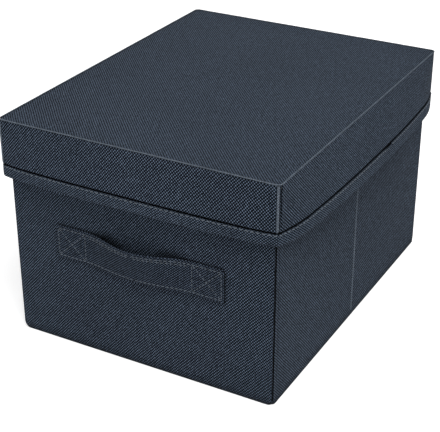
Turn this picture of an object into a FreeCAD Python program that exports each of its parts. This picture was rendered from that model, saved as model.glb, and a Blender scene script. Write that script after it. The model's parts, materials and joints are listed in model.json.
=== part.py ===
import FreeCAD, Part
import os

# A fabric storage box that folds flat, with a lift-off lid.
# Millimetres. X runs left to right, Y front to back, Z up. The origin is the
# middle of the face it stands on. The front carries the handle seen first.

V = FreeCAD.Vector

# Overall sizes
body_width = 210.0
body_depth = 267.0
overall_height = 172.0

# Sheets that everything is sewn from
face_fabric = 0.8
lining = 0.5
wall_board = 2.0
base_board_thickness = 2.2
base_board_cloth = 0.4
lid_top_board = 2.2
lid_skirt_board = 1.9

# Lid
lid_play_side = 0.8
lid_play_front = 1.6
lid_corner_radius = 3.5
lid_panel_height = 33.4
hem_height = 9.2
hem_groove = 0.8
hem_leaf = 1.0
hem_inner_leaf = 0.6
hem_proud = 0.5
seam_ridge_width = 1.6
seam_ridge_chamfer = 0.45
seam_rise = 0.6
corner_cord_radius = 0.8
ledge_height = 5.0
side_bow = 11.0
front_bow = 4.5
bow_shoulder = 0.8

# Walls
corner_round = 1.8
edge_binding_height = 8.0
edge_round = 0.6
hinge_cord_radius = 0.6

# Handles
strap_width = 26.0
strap_thickness = 1.6
strap_end_length = 26.0
strap_length = 135.0
strap_centre_height = 85.0
strap_bulge = 10.0
strap_corner_radius = 1.5

# Base board
base_board_play = 0.7
base_board_corner_radius = 3.0
tab_width = 20.0
tab_length = 24.0
tab_thickness = 0.8
tab_corner_radius = 5.0
tab_edge_distance = 4.0

# Clearances
seat_gap = 0.3
turn_gap = 0.3
slide_gap = 0.2
cord_gap = 0.1
cloth_gap = 0.05

# Worked out from the sizes above
half_width = body_width / 2
half_depth = body_depth / 2
wall_thickness = face_fabric + wall_board + lining
base_board_bottom = face_fabric + lining + seat_gap
base_board_top = base_board_bottom + base_board_thickness + 2 * base_board_cloth
rim_height = base_board_top + slide_gap
wall_bottom = rim_height + slide_gap
lid_face = overall_height - seam_rise
lid_board_bottom = lid_face - face_fabric - lid_top_board
lid_ceiling = lid_board_bottom - lining
wall_top = lid_ceiling - ledge_height - seat_gap
groove_top = lid_face - lid_panel_height
hem_top = groove_top - hem_groove
hem_bottom = hem_top - hem_height
skirt_thickness = face_fabric + lid_skirt_board + lining
lid_half_width = half_width + lid_play_side + skirt_thickness
lid_half_depth = half_depth + lid_play_front + skirt_thickness
board_inset = face_fabric + lid_skirt_board
hem_cloth_outer = hem_leaf - hem_proud
hem_cloth_inner = hem_cloth_outer + face_fabric
hem_lining_outer = hem_cloth_inner + cloth_gap
hem_lining_inner = hem_lining_outer + lining
corner_slot = cord_gap + 2 * hinge_cord_radius + turn_gap
corner_axis_x = half_width - wall_thickness
corner_axis_y = half_depth - wall_thickness - cord_gap - hinge_cord_radius
side_end = half_depth - wall_thickness - corner_slot
crease_axis_x = half_width - hinge_cord_radius
crease_end = hinge_cord_radius + turn_gap
strap_bottom = strap_centre_height - strap_width / 2
strap_top = strap_centre_height + strap_width / 2
grip_half_length = strap_length / 2 - strap_end_length - turn_gap

# Places along a skirt side, as shares of its bow, that the three arcs of the bow pass
bow_stations = (0, 0.08, 0.2, 0.5, 0.8, 0.92, 1)
# Places along the grip, as shares of its half length from the middle
grip_stations = (-1.0, -0.75, -0.5, -0.25, 0.0, 0.25, 0.5, 0.75, 1.0)


def block(low, high):
    """A box between two opposite corners."""
    size = V(*high) - V(*low)
    return Part.makeBox(size.x, size.y, size.z, V(*low))


def rounded_plate(half_x, half_y, low_z, high_z, radius):
    """An upright plate about the Z axis with rounded vertical edges."""
    plate = block((-half_x, -half_y, low_z), (half_x, half_y, high_z))
    return plate.makeFillet(radius, upright_edges(plate))


def upright_edges(solid, keep=lambda point: True):
    """The straight edges along Z whose middle passes the given test."""
    found = []
    for edge in solid.Edges:
        start, end = edge.Vertexes[0].Point, edge.Vertexes[-1].Point
        if abs((end - start).normalize().z) > 0.999 and keep((start + end) / 2):
            found.append(edge)
    return found


def spline(points):
    """A smooth edge through the given points."""
    curve = Part.BSplineCurve()
    curve.interpolate(points)
    return curve.toShape()


def bowed_edges(poles):
    """Arcs that follow the smooth curve between the outer two of four poles."""
    curve = Part.BezierCurve()
    curve.setPoles(poles)
    stations = [curve.value(share) for share in bow_stations]
    return [Part.Arc(*stations[k:k + 3]).toShape() for k in range(0, len(stations) - 2, 2)]


def line(start, end):
    return Part.LineSegment(start, end).toShape()


# Wall panels. Each is built with its outside on the XZ plane, its length along X
# and its inside towards +Y, and is then turned into its place.

def rounded_blank(start, end, low_z, high_z, round_start, round_end):
    """The outer form of a panel, with its outer upright edges rounded where asked."""
    blank = block((start, 0, low_z), (end, wall_thickness, high_z))
    ends = [x for x, wanted in ((start, round_start), (end, round_end)) if wanted]

    def is_outer_corner(point):
        return point.y < 0.01 and any(abs(point.x - x) < 0.01 for x in ends)

    return blank.makeFillet(corner_round, upright_edges(blank, is_outer_corner)) if ends else blank


def panel_board(start, end, low_z):
    """The stiffener inside one panel."""
    low = (start + face_fabric, face_fabric, low_z + face_fabric)
    high = (end - face_fabric, face_fabric + wall_board, wall_top - face_fabric)
    return block(low, high)


def panel_cover(blank, board, start, end):
    """The outer fabric, wrapped round the board's ends and lower edge."""
    top = wall_top - edge_binding_height
    past_lining = block((start - 1, wall_thickness - lining, 0), (end + 1, wall_thickness + 1, wall_top))
    above = block((start - 1, -1, top), (end + 1, wall_thickness + 1, wall_top + 1))
    return blank.cut(board).cut(past_lining).cut(above)


def panel_binding(blank, board, start, end):
    """The bound upper edge: a channel over the board's top, rounded along its crown."""
    below = block((start - 1, -1, 0), (end + 1, wall_thickness + 1, wall_top - edge_binding_height))
    band = blank.cut(below)
    crown = [e for e in band.Edges if is_long_crown_edge(e, end - start)]
    return band.makeFillet(edge_round, crown).cut(board)


def is_long_crown_edge(edge, length):
    box = edge.BoundBox
    at_top = box.ZMin > wall_top - 0.01
    return at_top and box.XLength > 0.5 * length and box.YLength < 0.01


def panel_lining(start, end, low_z):
    low = (start, wall_thickness - lining, low_z)
    return block(low, (end, wall_thickness, wall_top - edge_binding_height))


def wall_panel(start, end, low_z, round_start, round_end):
    """The four pieces of one wall panel."""
    blank = rounded_blank(start, end, low_z, wall_top, round_start, round_end)
    board = panel_board(start, end, low_z)
    return {
        "board": board,
        "cover": panel_cover(blank, board, start, end),
        "lining": panel_lining(start, end, low_z),
        "edge_binding": panel_binding(blank, board, start, end),
    }


def turned(shape, angle, x, y):
    """A copy turned about Z and then moved in plan."""
    moved = shape.copy()
    moved.Placement = FreeCAD.Placement(V(x, y, 0), FreeCAD.Rotation(V(0, 0, 1), angle))
    return moved


def walls():
    """Front and back walls, and two halves of each side that meet at its crease."""
    plan = {
        "front_wall": (-half_width, half_width, wall_bottom, True, True, 0, 0, -half_depth),
        "back_wall": (-half_width, half_width, rim_height, True, True, 180, 0, half_depth),
        "side_right_rear": (crease_end, side_end, wall_bottom, False, False, 90, half_width, 0),
        "side_right_front": (-side_end, -crease_end, wall_bottom, False, False, 90, half_width, 0),
        "side_left_rear": (-side_end, -crease_end, wall_bottom, False, False, -90, -half_width, 0),
        "side_left_front": (crease_end, side_end, wall_bottom, False, False, -90, -half_width, 0),
    }
    pieces = {}
    for wall, (start, end, low_z, round_start, round_end, angle, x, y) in plan.items():
        for piece, shape in wall_panel(start, end, low_z, round_start, round_end).items():
            pieces[f"{wall}_{piece}"] = turned(shape, angle, x, y)
    return pieces


def seam_cords():
    """The sewn cords that the panels turn on: four inner corners and two creases."""
    places = {
        "corner_seam_back_right": (corner_axis_x, corner_axis_y),
        "corner_seam_back_left": (-corner_axis_x, corner_axis_y),
        "corner_seam_front_right": (corner_axis_x, -corner_axis_y),
        "corner_seam_front_left": (-corner_axis_x, -corner_axis_y),
        "crease_seam_right": (crease_axis_x, 0),
        "crease_seam_left": (-crease_axis_x, 0),
    }
    height = wall_top - wall_bottom
    return {
        name: Part.makeCylinder(hinge_cord_radius, height, V(x, y, wall_bottom))
        for name, (x, y) in places.items()
    }


# Floor

def floor_pieces():
    """The fabric floor with its turned-up rim, and the lining that lies in it."""
    tray = rounded_plate(half_width, half_depth, 0, rim_height, corner_round)
    inner_x, inner_y = half_width - face_fabric, half_depth - face_fabric
    hollow = rounded_plate(inner_x, inner_y, face_fabric, rim_height + 1, corner_round - face_fabric)
    sheet = rounded_plate(
        inner_x - slide_gap, inner_y - slide_gap,
        face_fabric, face_fabric + lining, corner_round - face_fabric,
    )
    return {"floor_fabric": tray.cut(hollow), "floor_lining": sheet}


def base_board_pieces():
    """The loose stiffener: a board in a cloth cover, with a ribbon tab to lift it by."""
    half_x = half_width - wall_thickness - base_board_play
    half_y = half_depth - wall_thickness - base_board_play
    radius = base_board_corner_radius
    outer = rounded_plate(half_x, half_y, base_board_bottom, base_board_top, radius)
    board_bottom = base_board_bottom + base_board_cloth
    board = rounded_plate(
        half_x - base_board_cloth, half_y - base_board_cloth,
        board_bottom, base_board_top - base_board_cloth, radius - base_board_cloth,
    )
    slab = block((-half_width, -half_depth, 0), (half_width, half_depth, board_bottom))
    tab_back = half_y - tab_edge_distance
    tab = block(
        (-tab_width / 2, tab_back - tab_length, base_board_top),
        (tab_width / 2, tab_back, base_board_top + tab_thickness),
    )
    front_corners = upright_edges(tab, lambda point: point.y < tab_back - tab_length / 2)
    return {
        "base_board_core": board,
        "base_board_cover": outer.cut(slab).cut(board),
        "base_board_backing": outer.common(slab),
        "base_board_tab": tab.makeFillet(tab_corner_radius, front_corners),
    }


# Lid. The skirt is straight along the top edge and bows outwards towards its hem
# between the corners. An inset is measured inwards from the skirt's outer face.

def bow_at(z, full_bow):
    """How far the middle of a skirt side stands out at one height."""
    return full_bow * (lid_face - z) / (lid_face - hem_bottom)


def bow_poles(reach, bow):
    """Poles of a bow, as distances along it and out from it. Its middle stands out by the bow."""
    shoulder, lift = bow_shoulder * reach, bow * 4 / 3
    return [(-reach, 0), (-shoulder, lift), (shoulder, lift), (reach, 0)]


def side_poles(inset, z):
    """Poles of the right side of the skirt, front to back."""
    poles = bow_poles(lid_half_depth - lid_corner_radius, bow_at(z, side_bow))
    return [V(lid_half_width - inset + out, along, z) for along, out in poles]


def front_poles(inset, z):
    """Poles of the front of the skirt, left to right."""
    poles = bow_poles(lid_half_width - lid_corner_radius, bow_at(z, front_bow))
    return [V(along, -(lid_half_depth - inset + out), z) for along, out in poles]


def turn_half(poles):
    """The same poles on the opposite side of the box."""
    return [V(-p.x, -p.y, p.z) for p in poles]


def corner_arc(start, end, inset):
    """The rounded corner of the skirt between the ends of two sides."""
    centre = V(
        (lid_half_width - lid_corner_radius) * (1 if start.x > 0 else -1),
        (lid_half_depth - lid_corner_radius) * (1 if start.y > 0 else -1),
        start.z,
    )
    outward = ((start - centre) + (end - centre)).normalize()
    return Part.Arc(start, centre + outward * (lid_corner_radius - inset), end).toShape()


def skirt_wire(inset, z):
    """The closed plan outline of the skirt at one height."""
    front = front_poles(inset, z)
    right = side_poles(inset, z)
    sides = [front, right, turn_half(front), turn_half(right)]
    edges = []
    for here, following in zip(sides, sides[1:] + sides[:1]):
        edges += bowed_edges(here)
        edges.append(corner_arc(here[-1], following[0], inset))
    return Part.Wire(edges)


def skirt_core(inset, low_z, high_z):
    """Everything within one inset, between two heights."""
    return Part.makeLoft([skirt_wire(inset, low_z), skirt_wire(inset, high_z)], True, True)


def skirt_ring(outer_inset, inner_inset, low_z, high_z):
    """A sheet that runs all the way round the skirt."""
    return skirt_core(outer_inset, low_z, high_z).cut(skirt_core(inner_inset, low_z, high_z))


def skirt_board(poles_at, opposite):
    """One stiffener of the skirt, from the top board down to the groove above the hem."""
    wires = []
    for z in (groove_top, lid_board_bottom):
        outer, inner = poles_at(face_fabric + cloth_gap, z), poles_at(board_inset - cloth_gap, z)
        if opposite:
            outer, inner = turn_half(outer), turn_half(inner)
        wires.append(Part.Wire(
            bowed_edges(outer) + [line(outer[-1], inner[-1])]
            + bowed_edges(inner[::-1]) + [line(inner[0], outer[0])]
        ))
    return Part.makeLoft(wires, True, True)


def lid_top_seam():
    """The folded ridge of the seam that joins the top to the skirt."""
    low, high = lid_face - face_fabric, overall_height
    width, radius = seam_ridge_width, lid_corner_radius
    ridge = rounded_plate(lid_half_width, lid_half_depth, low, high, radius)
    hollow = rounded_plate(lid_half_width - width, lid_half_depth - width, low - 1, high + 1, radius - width)
    ridge = ridge.cut(hollow)
    crown = [edge for edge in ridge.Edges if edge.BoundBox.ZMin > high - 0.01]
    return ridge.makeChamfer(seam_ridge_chamfer, crown)


def lid_corner_seams():
    """A raised cord down each upright corner of the skirt."""
    offset = (lid_corner_radius - corner_cord_radius / 2) / 2 ** 0.5
    x = lid_half_width - lid_corner_radius + offset
    y = lid_half_depth - lid_corner_radius + offset
    high = lid_board_bottom
    return [
        Part.makeCylinder(corner_cord_radius, high - groove_top, V(sx * x, sy * y, groove_top))
        for sx in (-1, 1) for sy in (-1, 1)
    ]


def lid_fabric(corner_seams):
    """The top panel, and the skirt with its lower margin stepped in under the hem."""
    under_top = lid_face - face_fabric
    top = rounded_plate(
        lid_half_width - seam_ridge_width, lid_half_depth - seam_ridge_width,
        under_top, lid_face, lid_corner_radius - seam_ridge_width,
    )
    skirt = skirt_ring(0, face_fabric, groove_top, under_top)
    margin = skirt_ring(hem_cloth_outer, hem_cloth_inner, hem_bottom + face_fabric, groove_top)
    skirt = skirt.fuse(margin)
    for cord in corner_seams:
        skirt = skirt.cut(cord)
    return {"lid_top_fabric": top, "lid_skirt_fabric": skirt}


def lid_lining_pieces():
    """The lining under the top board and the one inside the skirt, stepped under the boards."""
    inset = lid_corner_radius - skirt_thickness
    top = rounded_plate(
        lid_half_width - board_inset, lid_half_depth - board_inset,
        lid_ceiling, lid_board_bottom, inset + lining,
    )
    upper = skirt_ring(board_inset, skirt_thickness, groove_top, lid_ceiling)
    step = skirt_ring(hem_lining_outer, skirt_thickness, groove_top - lining, groove_top)
    lower = skirt_ring(hem_lining_outer, hem_lining_inner, hem_bottom + face_fabric, groove_top - lining)
    return {"lid_top_lining": top, "lid_skirt_lining": upper.fuse(step).fuse(lower)}


def lid_hem():
    """The tape folded round the skirt's lower edge."""
    inner = hem_lining_inner + hem_inner_leaf
    tape = skirt_ring(-hem_proud, inner, hem_bottom, hem_top)
    outer_cloth, inner_cloth = hem_cloth_outer - cloth_gap, hem_lining_inner + cloth_gap
    cloth = skirt_ring(outer_cloth, inner_cloth, hem_bottom + face_fabric - cloth_gap, hem_top)
    return tape.cut(cloth)


def lid_ledge():
    """The turned-in seam under the lid's top, which rests on the walls."""
    low, high = lid_ceiling - ledge_height, lid_ceiling
    half_x, half_y = lid_half_width - skirt_thickness, lid_half_depth - skirt_thickness
    outer = rounded_plate(half_x, half_y, low, high, lid_corner_radius - skirt_thickness)
    inner_x, inner_y = half_width - wall_thickness, half_depth - wall_thickness
    return outer.cut(block((-inner_x, -inner_y, low - 1), (inner_x, inner_y, high + 1)))


def lid_top_stiffener():
    half_x, half_y = lid_half_width - face_fabric, lid_half_depth - face_fabric
    return rounded_plate(half_x, half_y, lid_board_bottom, lid_face - face_fabric, lid_corner_radius - face_fabric)


def lid_pieces():
    corner_seams = lid_corner_seams()
    pieces = {
        "lid_top_board": lid_top_stiffener(),
        "lid_board_right": skirt_board(side_poles, False),
        "lid_board_left": skirt_board(side_poles, True),
        "lid_board_front": skirt_board(front_poles, False),
        "lid_board_back": skirt_board(front_poles, True),
        "lid_hem": lid_hem(),
        "lid_ledge": lid_ledge(),
        "lid_top_seam": lid_top_seam(),
        "lid_corner_seams": Part.makeCompound(corner_seams),
    }
    pieces.update(lid_fabric(corner_seams))
    pieces.update(lid_lining_pieces())
    return pieces


# Handles. Built on the front wall, and turned half round for the back wall.

def strap_end(side):
    """One end of the strap, sewn flat on the wall."""
    inner, outer = strap_length / 2 - strap_end_length, strap_length / 2
    low_x, high_x = sorted((side * inner, side * outer))
    low_y = -half_depth - strap_thickness
    plate = block((low_x, low_y, strap_bottom), (high_x, -half_depth, strap_top))
    corners = [e for e in plate.Edges if is_strap_corner(e, side * outer)]
    return plate.makeFillet(strap_corner_radius, corners)


def is_strap_corner(edge, x):
    box = edge.BoundBox
    return box.YLength > strap_thickness / 2 and abs(box.XMin - x) < 0.01


def strap_grip():
    """The free length of the strap, which stands away from the wall in the middle."""
    def row(distance):
        out = -half_depth - turn_gap - distance
        return [
            V(s * grip_half_length, out - strap_bulge * (1 - s * s) ** 2, strap_bottom)
            for s in grip_stations
        ]
    inner, outer = row(0), row(strap_thickness)
    outline = Part.Wire([
        spline(inner), line(inner[-1], outer[-1]), spline(outer[::-1]), line(outer[0], inner[0]),
    ])
    return Part.Face(outline).extrude(V(0, 0, strap_width))


def handle_pieces():
    front = {"end_left": strap_end(-1), "end_right": strap_end(1), "grip": strap_grip()}
    pieces = {f"front_handle_{name}": shape for name, shape in front.items()}
    pieces.update({f"back_handle_{name}": turned(shape, 180, 0, 0) for name, shape in front.items()})
    return pieces


def main():
    pieces = {}
    for group in (floor_pieces, base_board_pieces, walls, seam_cords, handle_pieces, lid_pieces):
        pieces.update(group())
    os.makedirs("parts", exist_ok=True)
    for name, shape in pieces.items():
        shape.exportStep(f"parts/{name}.step")
        print(name, round(shape.Volume, 1), shape.isValid(), len(shape.Solids))


main()
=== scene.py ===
import json
import math
import bmesh
import bpy
from mathutils import Matrix, Vector, noise

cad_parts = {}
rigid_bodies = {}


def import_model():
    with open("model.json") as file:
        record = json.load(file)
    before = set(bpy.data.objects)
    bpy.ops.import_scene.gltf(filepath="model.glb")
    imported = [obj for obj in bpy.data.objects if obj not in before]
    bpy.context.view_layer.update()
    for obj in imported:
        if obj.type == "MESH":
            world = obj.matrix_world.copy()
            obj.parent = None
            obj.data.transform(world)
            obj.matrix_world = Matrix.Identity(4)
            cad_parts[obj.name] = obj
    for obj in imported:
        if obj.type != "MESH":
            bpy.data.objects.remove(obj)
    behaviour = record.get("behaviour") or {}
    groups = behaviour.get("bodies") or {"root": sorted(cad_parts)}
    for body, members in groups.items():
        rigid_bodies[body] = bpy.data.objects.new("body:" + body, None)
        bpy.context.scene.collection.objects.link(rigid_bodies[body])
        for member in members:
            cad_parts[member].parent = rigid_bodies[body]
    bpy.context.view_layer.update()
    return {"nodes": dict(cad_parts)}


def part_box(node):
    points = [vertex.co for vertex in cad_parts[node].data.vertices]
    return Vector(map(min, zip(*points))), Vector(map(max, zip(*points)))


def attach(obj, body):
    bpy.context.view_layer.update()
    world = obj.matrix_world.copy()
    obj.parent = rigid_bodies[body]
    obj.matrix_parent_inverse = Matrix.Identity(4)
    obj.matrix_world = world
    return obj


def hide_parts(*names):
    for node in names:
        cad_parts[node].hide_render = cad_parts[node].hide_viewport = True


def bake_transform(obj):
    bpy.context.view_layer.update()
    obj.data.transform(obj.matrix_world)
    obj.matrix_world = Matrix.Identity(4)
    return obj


# A collapsible fabric storage box with a lift-off lid.
# Lengths are in millimetres until a mesh is made, and the frame is the model's own:
# X left to right, Y front to back, Z up from the face it stands on.

for extra in list(bpy.data.objects):
    bpy.data.objects.remove(extra, do_unlink=True)

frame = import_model()

MM = 0.001

HALF_WIDTH, HALF_DEPTH, CORNER_RADIUS = 105.0, 133.5, 1.8
WALL_THICKNESS, WALL_TOP, WALL_BOTTOM, RIM = 3.3, 162.6, 5.0, 4.8
SIDE_END, CREASE_END = 128.7, 0.9
CLOTH_THICKNESS, LINING_THICKNESS = 0.8, 0.5
# How far the outer cloth hangs below its panel, and how far the binding stands off the wall's faces
COVER_DROP, BINDING_PROUD = 0.12, 0.12
BINDING_HEIGHT = 8.0
BINDING_LOW, COVER_TOP = WALL_TOP - BINDING_HEIGHT - 0.3, WALL_TOP - BINDING_HEIGHT + 0.1

# The base board's play in the walls, its underside and top face, and the top of its tab
BOARD_PLAY, BOARD_LOW, BOARD_TOP, TAB_TOP = 0.7, 1.6, 4.6, 5.4
TAB_WIDTH, TAB_LENGTH = 20, 24

LID_X, LID_Y, LID_FACE, LID_RADIUS = 109.0, 138.3, 171.4, 3.5
LID_BOARD_BOTTOM, LID_CEILING, LEDGE_HEIGHT = 168.4, 167.9, 5.0
GROOVE_TOP, HEM_TOP, HEM_BOTTOM, HEM_PROUD = 138.0, 137.2, 128.0, 0.5
SIDE_BOW, FRONT_BOW, BOW_SHOULDER = 11.0, 4.5, 0.8
# Places along a skirt side, as shares of its bow, that the three arcs of the bow pass
BOW_STATIONS = (0, 0.08, 0.2, 0.5, 0.8, 0.92, 1)
# Shares of a skirt side at the two edges of the join in its tape
JOIN_SHARES = (0.579, 0.583)
# The middle of the groove at a lid corner, as a share of the turn from an end to a side
CORNER_GROOVE = 0.83
SIDE_STEPS, FRONT_STEPS, ARC_STEPS = 48, 40, 22
PIPING_RADIUS, CORNER_PIPING_RADIUS, CORNER_PIPING_ANGLE = 0.52, 0.85, 58

STRAP_HALF, STRAP_END, STRAP_LOW, STRAP_HIGH, STRAP_THICKNESS = 67.5, 41.5, 72.0, 98.0, 1.6
STRAP_MIDDLE, STRAP_WIDTH = (STRAP_LOW + STRAP_HIGH) / 2, STRAP_HIGH - STRAP_LOW
GRIP_HALF, BULGE_LOW, BULGE_HIGH = 41.2, 4.5, 10.4
# The strap's rows of stitching: two below its top edge and one above its lower edge
TOP_ROW, SECOND_ROW, LOW_ROW = STRAP_HIGH - 2.2, STRAP_HIGH - 4.0, STRAP_LOW + 2.4

# Stitches: from one to the next, length, half the width, height
BINDING_STITCH = (3.6, 2.3, 0.42, 0.26)
TAB_STITCH = (3.0, 2.0, 0.42, 0.26)
HEM_STITCH = (3.9, 2.4, 0.40, 0.24)
STRAP_STITCH = (3.3, 2.25, 0.30, 0.24)

# The spacing of points along a level ring, and the angle between faces that makes an edge sharp
RING_STEP, SHARP_ANGLE = 7.0, 35

IMAGE_WIDTH, FOCAL_PIXELS, SENSOR_WIDTH = 440, 1201.8, 36
CAMERA_PLACE, CAMERA_YAW, CAMERA_PITCH = (0.3954, -0.7352, 0.4976), -28.85, 27.68
STAGE_HALF, STAGE_HEIGHT, LAMP_TARGET = 8.0, -0.0002, (0, 0, 0.08)


# Materials

class Nodes:
    """Short ways to write a node tree."""

    def __init__(self, owner, output="ShaderNodeOutputMaterial"):
        owner.use_nodes = True
        self.tree = owner.node_tree
        self.tree.nodes.clear()
        self.output = self.new(output)

    def fill(self, node, inputs):
        """Gives inputs, by name or number, a value or a link from another node's socket."""
        for key, value in inputs.items():
            if isinstance(value, bpy.types.NodeSocket):
                self.tree.links.new(value, node.inputs[key])
            else:
                node.inputs[key].default_value = value
        return node

    def new(self, kind, inputs=None, **settings):
        node = self.tree.nodes.new(kind)
        for key, value in settings.items():
            setattr(node, key, value)
        return self.fill(node, inputs or {})

    def show(self, shader):
        self.fill(self.output, {"Surface": shader})

    def math(self, operation, *values, clamp=False):
        inputs = dict(enumerate(values))
        return self.new("ShaderNodeMath", inputs, operation=operation, use_clamp=clamp).outputs[0]

    def mix(self, factor, first, second):
        inputs = {0: factor, 6: first, 7: second}
        return self.new("ShaderNodeMix", inputs, data_type="RGBA").outputs[2]

    def blend(self, factor, first, second):
        inputs = {0: factor, 2: first, 3: second}
        return self.new("ShaderNodeMix", inputs, data_type="FLOAT").outputs[0]

    def choose(self, factor, first, second):
        """One shader or the other."""
        return self.new("ShaderNodeMixShader", {0: factor, 1: first, 2: second}).outputs[0]

    def times(self, first, second):
        return self.math("MULTIPLY", first, second)

    def line(self, value, gain, base, clamp=False):
        """base + gain * value"""
        return self.math("MULTIPLY_ADD", value, gain, base, clamp=clamp)

    def split(self, coordinates):
        place = self.new("ShaderNodeTexCoord").outputs[coordinates]
        return list(self.new("ShaderNodeSeparateXYZ", {0: place}).outputs)

    def place(self):
        """Object coordinates in millimetres, one socket each."""
        return [self.times(socket, 1000.0) for socket in self.split("Object")]

    def cloth_plane(self, place):
        """Two coordinates that lie in the cloth, whichever way its face looks."""
        x, y, z = place
        ax, ay, az = (self.math("ABSOLUTE", n) for n in self.split("Normal"))
        flat = self.math("GREATER_THAN", az, 0.72)
        side = self.math("GREATER_THAN", ax, ay)
        upright_side = self.times(side, self.math("SUBTRACT", 1.0, flat))
        return self.blend(upright_side, x, y), self.blend(flat, z, y)

    def vector(self, x, y, z):
        return self.new("ShaderNodeCombineXYZ", {0: x, 1: y, 2: z}).outputs[0]

    def noise(self, vector, scale, detail=2.0, roughness=0.5):
        inputs = {"Vector": vector, "Scale": scale, "Detail": detail, "Roughness": roughness}
        return self.new("ShaderNodeTexNoise", inputs).outputs[0]

    def smooth(self, value, low, high):
        inputs = {0: value, 1: low, 2: high}
        return self.new("ShaderNodeMapRange", inputs, interpolation_type="SMOOTHSTEP").outputs[0]

    def openness(self, distance):
        """How freely a place is seen from within a distance in metres: low in folds and pockets."""
        return self.new("ShaderNodeAmbientOcclusion", {"Distance": distance}, samples=6).outputs["AO"]


class Fabric(Nodes):
    """The node tree of one material."""

    def __init__(self, name):
        self.material = bpy.data.materials.new(name)
        super().__init__(self.material)
        self.shader = self.new("ShaderNodeBsdfPrincipled")
        self.show(self.shader.outputs["BSDF"])

    def tint(self, tone, dark, light):
        self.fill(self.shader, {"Base Color": self.mix(tone, (*dark, 1), (*light, 1))})

    def bump(self, height, strength, distance):
        inputs = {"Strength": strength, "Distance": distance * MM, "Height": height}
        self.fill(self.shader, {"Normal": self.new("ShaderNodeBump", inputs).outputs[0]})

    def finish(self, roughness, specular, sheen=0.0, sheen_roughness=0.5, sheen_tint=(1, 1, 1, 1)):
        self.fill(self.shader, {
            "Roughness": roughness, "Specular IOR Level": specular, "Sheen Weight": sheen,
            "Sheen Roughness": sheen_roughness, "Sheen Tint": sheen_tint,
        })
        return self.material


def woven(name, pitch_across, pitch_along, dark, light, relief, contrast=1.0):
    """Plain-woven yarn-dyed cloth: light and dark yarns that cross one over the other."""
    nodes = Fabric(name)
    x, y, z = nodes.place()
    u, v = nodes.cloth_plane((x, y, z))
    space = nodes.vector(x, y, z)
    facing_up = nodes.split("Normal")[2]
    upright = nodes.math("SUBTRACT", 1.0, nodes.math("ABSOLUTE", facing_up), clamp=True)

    def yarns(across, pitch, place, scale):
        """Rows of yarn whose lines drift a little from straight."""
        rows = nodes.times(across, math.pi / pitch)
        return nodes.math("SINE", nodes.line(nodes.noise(place, scale, 3.0, 0.62), 3.2, rows))

    def slub(across, along, seed):
        """The lighter and darker lengths of each yarn."""
        yarn = nodes.vector(nodes.times(u, across), nodes.times(v, along), seed)
        return nodes.noise(yarn, 1.0, 1.0)

    warp = yarns(u, pitch_across, space, 0.05)
    weft = yarns(v, pitch_along, nodes.vector(z, x, y), 0.06)
    # Hairs and knots of the yarns blur the weave
    hairs = nodes.math("SUBTRACT", nodes.noise(nodes.vector(y, z, x), 0.9, 2.0, 0.6), 0.5)
    over = nodes.math("ADD", nodes.times(warp, weft), nodes.times(hairs, 1.5))
    # Painted light and shade: on an upright face only the crowns of the yarns take the light colour, as
    # light from above would leave them
    crown = nodes.line(upright, -0.25, over)
    top_yarn = nodes.smooth(crown, -0.05 / contrast, 0.29 / contrast)
    length = nodes.blend(top_yarn, slub(0.12, 0.9, 7.0), slub(0.9, 0.12, 0.0))
    shade = nodes.line(nodes.math("SUBTRACT", length, 0.5), 1.1, 1.0)
    gap = nodes.math("POWER", nodes.math("ABSOLUTE", over), 0.35)
    fleck = nodes.noise(space, 1.7, 1.0)
    patch = nodes.noise(space, 0.012, 2.0)
    # Gaps, flecks and patches are the cloth's own tone; the upright factor is painted light, brightening the
    # colour of upright faces
    for value, gain, base in ((gap, 0.55, 0.5), (fleck, 0.5, 0.75), (patch, 0.3, 0.85), (upright, 0.4, 1.0)):
        shade = nodes.times(shade, nodes.line(value, gain, base))
    # Painted shade: cloth in a fold, a seam or a pocket is coloured darker by how closed in it is, but not
    # on faces that look down, where the box stands
    underneath = nodes.math("LESS_THAN", facing_up, -0.7)
    painted_crease_shade = nodes.math("MAXIMUM", underneath, nodes.math("POWER", nodes.openness(0.008), 1.5))
    shade = nodes.times(shade, painted_crease_shade)
    colour = nodes.mix(top_yarn, (*dark, 1), (*light, 1))
    scaled = nodes.new("ShaderNodeVectorMath", {0: colour, "Scale": shade}, operation="SCALE")
    nodes.fill(nodes.shader, {"Base Color": scaled.outputs[0]})
    nodes.bump(nodes.math("ADD", gap, nodes.times(fleck, 0.3)), relief, 0.3)
    return nodes.finish(0.92, 0.08, 0.02, 0.4, (0.75, 0.85, 1.0, 1))


def felted(name, dark, light):
    """Thin non-woven lining: matted fibres pressed together in small rows of dots."""
    nodes = Fabric(name)
    place = nodes.place()
    u, v = nodes.cloth_plane(place)
    space = nodes.vector(*place)
    first = nodes.math("SINE", nodes.times(nodes.math("ADD", u, v), 2.4))
    second = nodes.math("SINE", nodes.times(nodes.math("SUBTRACT", u, v), 2.4))
    dots = nodes.smooth(nodes.times(first, second), 0.35, 0.8)
    fibres = nodes.noise(space, 2.6, 3.0, 0.7)
    cloud = nodes.noise(space, 0.03, 2.0)
    tone = nodes.line(fibres, 0.9, nodes.line(cloud, 0.5, -0.25))
    nodes.tint(nodes.math("SUBTRACT", tone, nodes.times(dots, 0.25), clamp=True), dark, light)
    nodes.bump(nodes.math("SUBTRACT", fibres, nodes.times(dots, 0.8)), 0.3, 0.2)
    return nodes.finish(0.8, 0.3, 0.05)


def ribbed(name, dark, light, pitch):
    """Narrow ribbon with fine cross ribs."""
    nodes = Fabric(name)
    place = nodes.place()
    u, _ = nodes.cloth_plane(place)
    rib = nodes.math("SINE", nodes.times(u, 2 * math.pi / pitch))
    fibres = nodes.noise(nodes.vector(*place), 1.8, 2.0)
    nodes.tint(nodes.line(rib, 0.3, fibres, clamp=True), dark, light)
    nodes.bump(rib, 0.35, 0.2)
    return nodes.finish(0.75, 0.3, 0.1)


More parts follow.
